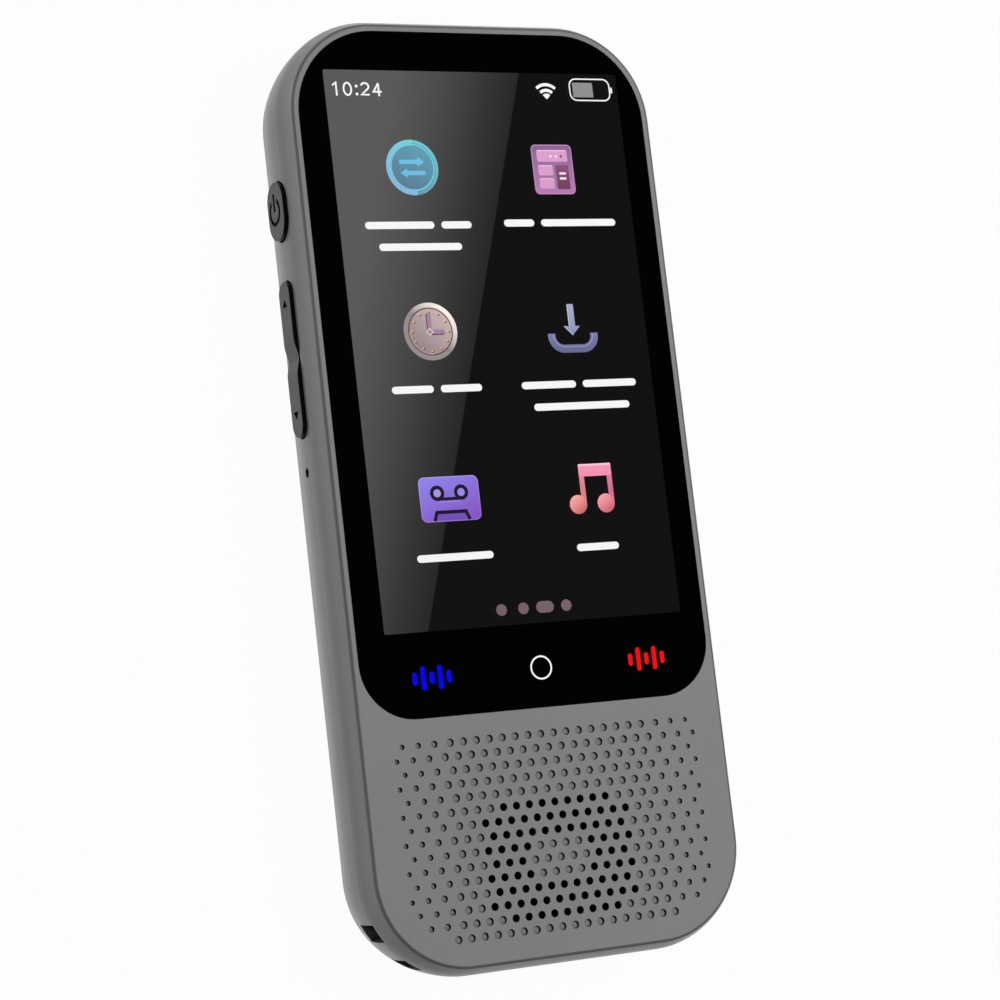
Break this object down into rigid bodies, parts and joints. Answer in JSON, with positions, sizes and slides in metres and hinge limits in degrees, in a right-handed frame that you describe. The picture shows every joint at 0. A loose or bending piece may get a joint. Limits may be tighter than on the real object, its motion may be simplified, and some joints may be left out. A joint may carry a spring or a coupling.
{
  "type": "handheld translator",
  "caption": "Handheld voice translator with a touch display, touch keys, speaker grille, side power key, volume rocker and lanyard bar.",
  "frame": {"origin": "centre of the flat back, lying on its back", "axes": "+Z out of the screen, +Y to the top end, +X to the right as the screen is read"},
  "size_m": [0.0594, 0.1352, 0.0146],
  "materials": {
    "case_plastic": "moulded, fine satin texture",
    "cover_glass": "polished, black printed border",
    "adhesive": "black foam tape",
    "display": "polarised panel",
    "backlight": "white tray",
    "flex": "polyimide film",
    "light_guide": "clear moulded",
    "led": "moulded chip",
    "key_plastic": "dark moulded",
    "switch_plastic": "moulded",
    "steel": "stamped",
    "plated_steel": "bright nickel plate",
    "screw_steel": "black zinc",
    "board": "green solder mask",
    "socket_plastic": "moulded",
    "battery_pouch": "laminated foil",
    "tape": "double sided tape",
    "rubber": "soft moulded",
    "magnet": "nickel plate",
    "copper": "enamelled wire",
    "cone_film": "formed film",
    "mesh": "woven screen",
    "camera_glass": "polished",
    "camera_plastic": "moulded"
  },
  "bodies": {
    "case": {"front_case": "case_plastic", "back_cover": "case_plastic", "cover_screws": "screw_steel", "cover_glass": "cover_glass", "glass_adhesive": "adhesive", "display_panel": "display", "display_backlight": "backlight", "display_flex": "flex", "light_guides": "light_guide", "key_lights": "led", "touch_key_flex": "flex", "side_switches": "switch_plastic", "side_key_flex": "flex", "side_key_bracket": "steel", "side_microphone": "steel", "microphone_boot": "rubber", "main_board": "board", "processor_shield": "plated_steel", "radio_shield": "plated_steel", "board_sockets": "socket_plastic", "board_screws": "screw_steel", "link_flex": "flex", "antenna": "flex", "battery": "battery_pouch", "battery_tape": "tape", "battery_guard": "board", "battery_flex": "flex", "bottom_board": "board", "usb_shell": "plated_steel", "usb_tongue": "switch_plastic", "speaker_contacts": "copper", "speaker_basket": "switch_plastic", "speaker_yoke": "plated_steel", "speaker_magnet": "magnet", "speaker_pole": "plated_steel", "speaker_surround": "rubber", "speaker_gasket": "adhesive", "dust_mesh": "mesh", "camera_window": "camera_glass", "camera_module": "camera_plastic", "camera_lens": "camera_plastic", "flash_light": "led", "flash_guide": "light_guide"},
    "power_key": {"power_button": "key_plastic"},
    "power_plunger": {"power_plunger": "switch_plastic"},
    "volume_key": {"volume_rocker": "key_plastic"},
    "volume_up_plunger": {"volume_up_plunger": "switch_plastic"},
    "volume_down_plunger": {"volume_down_plunger": "switch_plastic"},
    "speaker_cone": {"speaker_diaphragm": "cone_film", "voice_coil": "copper"}
  },
  "joints": [
    {"name": "power_press", "type": "slide", "parent": "case", "child": "power_key", "axis": [1, 0, 0], "range_m": [0, 0.00025], "stiffness_N_per_m": 3000, "springref_m": -0.0002},
    {"name": "power_plunger_slide", "type": "slide", "parent": "case", "child": "power_plunger", "axis": [1, 0, 0], "range_m": [0, 0.00025]},
    {"name": "volume_tilt", "type": "hinge", "parent": "case", "child": "volume_key", "pos_m": [-0.02665, 0.0197, 0.0084], "axis": [0, 0, 1], "range_deg": [-2, 2], "stiffness_Nm_per_rad": 0.3},
    {"name": "volume_up_plunger_slide", "type": "slide", "parent": "case", "child": "volume_up_plunger", "axis": [1, 0, 0], "range_m": [-0.00025, 0.00025]},
    {"name": "volume_down_plunger_slide", "type": "slide", "parent": "case", "child": "volume_down_plunger", "axis": [1, 0, 0], "range_m": [-0.00025, 0.00025]},
    {"name": "cone_travel", "type": "slide", "parent": "case", "child": "speaker_cone", "axis": [0, 0, 1], "range_m": [-0.0003, 0.0003], "stiffness_N_per_m": 1000, "deforming": ["speaker_surround"]}
  ],
  "couplings": [
    {"joint": "power_plunger_slide", "follows": "power_press", "ratio": 1},
    {"joint": "volume_up_plunger_slide", "follows": "volume_tilt", "m_per_rad": -0.007},
    {"joint": "volume_down_plunger_slide", "follows": "volume_tilt", "m_per_rad": 0.007}
  ]
}
